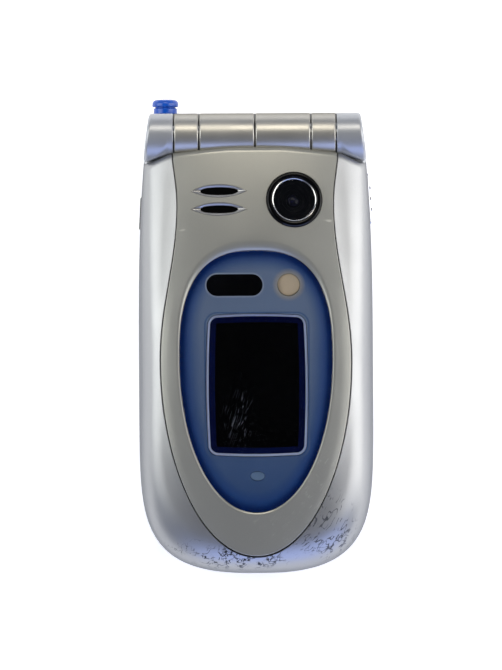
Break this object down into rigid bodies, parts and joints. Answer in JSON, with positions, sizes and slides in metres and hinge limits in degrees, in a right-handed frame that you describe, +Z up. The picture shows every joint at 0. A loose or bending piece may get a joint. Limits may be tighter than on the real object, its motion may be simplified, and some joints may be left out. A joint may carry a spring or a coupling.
{
  "type": "flip phone",
  "caption": "Closed clamshell camera phone with an oval outer display window, a hinged lid, sprung keys, a side key, a pull-out aerial and a sliding battery cover.",
  "frame": {"origin": "on the back of the case, at the middle of the body's length and width", "axes": "+Y towards the hinge and aerial, +Z up out of the closed lid, +X to the right seen from above the lid"},
  "size_m": [0.0491, 0.0993, 0.0255],
  "materials": {
    "pearl_silver": "painted satin",
    "warm_grey_satin": "painted satin",
    "hinge_silver": "painted satin",
    "blue_window": "clear tinted acrylic",
    "lavender_rim": "satin",
    "display_black": "dark gloss",
    "flash_cream": "frosted",
    "led_lens": "frosted",
    "gloss_black": "piano gloss",
    "camera_glass": "coated",
    "chrome_trim": "polished",
    "steel": "turned",
    "aerial_blue": "gloss",
    "key_silver": "painted satin",
    "board_green": "solder mask",
    "dome_sheet": "film",
    "battery_label": "moulded",
    "rubber_grey": "moulded",
    "copper_film": "polyimide film",
    "dark_plastic": "moulded"
  },
  "bodies": {
    "base": {"rear_case": "pearl_silver", "front_case": "pearl_silver", "barrel_sleeve_left": "hinge_silver", "barrel_sleeve_right": "hinge_silver", "hinge_cam_unit": "steel", "hinge_bush": "steel", "flex_cable": "copper_film", "main_board": "board_green", "keypad_mat": "dome_sheet", "battery": "battery_label", "vibration_motor": "steel", "loudspeaker": "dark_plastic", "bottom_connector": "steel", "headset_jack": "dark_plastic", "antenna_socket": "steel", "ir_window": "gloss_black", "case_screws": "steel"},
    "lid": {"lid_outer_shell": "pearl_silver", "lid_plate": "warm_grey_satin", "sub_window": "blue_window", "display_bezel": "lavender_rim", "sub_display": "display_black", "flash_lens": "flash_cream", "sensor_window": "gloss_black", "status_led": "led_lens", "camera_ring": "gloss_black", "camera_lens": "camera_glass", "camera_module": "dark_plastic", "speaker_trims": "chrome_trim", "lid_inner_frame": "hinge_silver", "main_window": "display_black", "main_display": "display_black", "earpiece": "dark_plastic", "lid_bumpers": "rubber_grey", "lid_screws": "steel"},
    "battery_cover": {"battery_cover": "pearl_silver"},
    "aerial": {"antenna_rod": "chrome_trim", "antenna_knob": "aerial_blue"},
    "side_key": {"side_key": "chrome_trim"},
    "nav_ring": {"nav_ring": "key_silver"},
    "centre_key": {"centre_key": "key_silver"},
    "soft_key_left": {"soft_key_left": "key_silver"},
    "soft_key_right": {"soft_key_right": "key_silver"},
    "mail_key": {"mail_key": "key_silver"},
    "web_key": {"web_key": "key_silver"},
    "call_key": {"call_key": "key_silver"},
    "clear_key": {"clear_key": "key_silver"},
    "end_key": {"end_key": "key_silver"},
    "key_1": {"key_1": "key_silver"},
    "key_2": {"key_2": "key_silver"},
    "key_3": {"key_3": "key_silver"},
    "key_4": {"key_4": "key_silver"},
    "key_5": {"key_5": "key_silver"},
    "key_6": {"key_6": "key_silver"},
    "key_7": {"key_7": "key_silver"},
    "key_8": {"key_8": "key_silver"},
    "key_9": {"key_9": "key_silver"},
    "key_star": {"key_star": "key_silver"},
    "key_0": {"key_0": "key_silver"},
    "key_hash": {"key_hash": "key_silver"}
  },
  "joints": [
    {"name": "lid_hinge", "type": "hinge", "parent": "base", "child": "lid", "pos_m": [0, 0.0437, 0.016], "axis": [-1, 0, 0], "range_deg": [0, 160]},
    {"name": "aerial_slide", "type": "slide", "parent": "base", "child": "aerial", "axis": [0, 1, 0], "range_m": [0, 0.062]},
    {"name": "cover_slide", "type": "slide", "parent": "base", "child": "battery_cover", "axis": [0, -1, 0], "range_m": [0, 0.006]},
    {"name": "side_key_rock", "type": "hinge", "parent": "base", "child": "side_key", "pos_m": [0.0231, 0.0302, 0.0106], "axis": [0, 0, 1], "range_deg": [-2.5, 2.5], "stiffness_Nm_per_rad": 0.06},
    {"name": "nav_ring_press", "type": "slide", "parent": "base", "child": "nav_ring", "axis": [0, 0, -1], "range_m": [0, 0.0003], "stiffness_N_per_m": 2500},
    {"name": "centre_key_press", "type": "slide", "parent": "base", "child": "centre_key", "axis": [0, 0, -1], "range_m": [0, 0.0003], "stiffness_N_per_m": 2500},
    {"name": "soft_key_left_press", "type": "slide", "parent": "base", "child": "soft_key_left", "axis": [0, 0, -1], "range_m": [0, 0.0003], "stiffness_N_per_m": 2500},
    {"name": "soft_key_right_press", "type": "slide", "parent": "base", "child": "soft_key_right", "axis": [0, 0, -1], "range_m": [0, 0.0003], "stiffness_N_per_m": 2500},
    {"name": "mail_key_press", "type": "slide", "parent": "base", "child": "mail_key", "axis": [0, 0, -1], "range_m": [0, 0.0003], "stiffness_N_per_m": 2500},
    {"name": "web_key_press", "type": "slide", "parent": "base", "child": "web_key", "axis": [0, 0, -1], "range_m": [0, 0.0003], "stiffness_N_per_m": 2500},
    {"name": "call_key_press", "type": "slide", "parent": "base", "child": "call_key", "axis": [0, 0, -1], "range_m": [0, 0.0003], "stiffness_N_per_m": 2500},
    {"name": "clear_key_press", "type": "slide", "parent": "base", "child": "clear_key", "axis": [0, 0, -1], "range_m": [0, 0.0003], "stiffness_N_per_m": 2500},
    {"name": "end_key_press", "type": "slide", "parent": "base", "child": "end_key", "axis": [0, 0, -1], "range_m": [0, 0.0003], "stiffness_N_per_m": 2500},
    {"name": "key_1_press", "type": "slide", "parent": "base", "child": "key_1", "axis": [0, 0, -1], "range_m": [0, 0.0003], "stiffness_N_per_m": 2500},
    {"name": "key_2_press", "type": "slide", "parent": "base", "child": "key_2", "axis": [0, 0, -1], "range_m": [0, 0.0003], "stiffness_N_per_m": 2500},
    {"name": "key_3_press", "type": "slide", "parent": "base", "child": "key_3", "axis": [0, 0, -1], "range_m": [0, 0.0003], "stiffness_N_per_m": 2500},
    {"name": "key_4_press", "type": "slide", "parent": "base", "child": "key_4", "axis": [0, 0, -1], "range_m": [0, 0.0003], "stiffness_N_per_m": 2500},
    {"name": "key_5_press", "type": "slide", "parent": "base", "child": "key_5", "axis": [0, 0, -1], "range_m": [0, 0.0003], "stiffness_N_per_m": 2500},
    {"name": "key_6_press", "type": "slide", "parent": "base", "child": "key_6", "axis": [0, 0, -1], "range_m": [0, 0.0003], "stiffness_N_per_m": 2500},
    {"name": "key_7_press", "type": "slide", "parent": "base", "child": "key_7", "axis": [0, 0, -1], "range_m": [0, 0.0003], "stiffness_N_per_m": 2500},
    {"name": "key_8_press", "type": "slide", "parent": "base", "child": "key_8", "axis": [0, 0, -1], "range_m": [0, 0.0003], "stiffness_N_per_m": 2500},
    {"name": "key_9_press", "type": "slide", "parent": "base", "child": "key_9", "axis": [0, 0, -1], "range_m": [0, 0.0003], "stiffness_N_per_m": 2500},
    {"name": "key_star_press", "type": "slide", "parent": "base", "child": "key_star", "axis": [0, 0, -1], "range_m": [0, 0.0003], "stiffness_N_per_m": 2500},
    {"name": "key_0_press", "type": "slide", "parent": "base", "child": "key_0", "axis": [0, 0, -1], "range_m": [0, 0.0003], "stiffness_N_per_m": 2500},
    {"name": "key_hash_press", "type": "slide", "parent": "base", "child": "key_hash", "axis": [0, 0, -1], "range_m": [0, 0.0003], "stiffness_N_per_m": 2500}
  ]
}
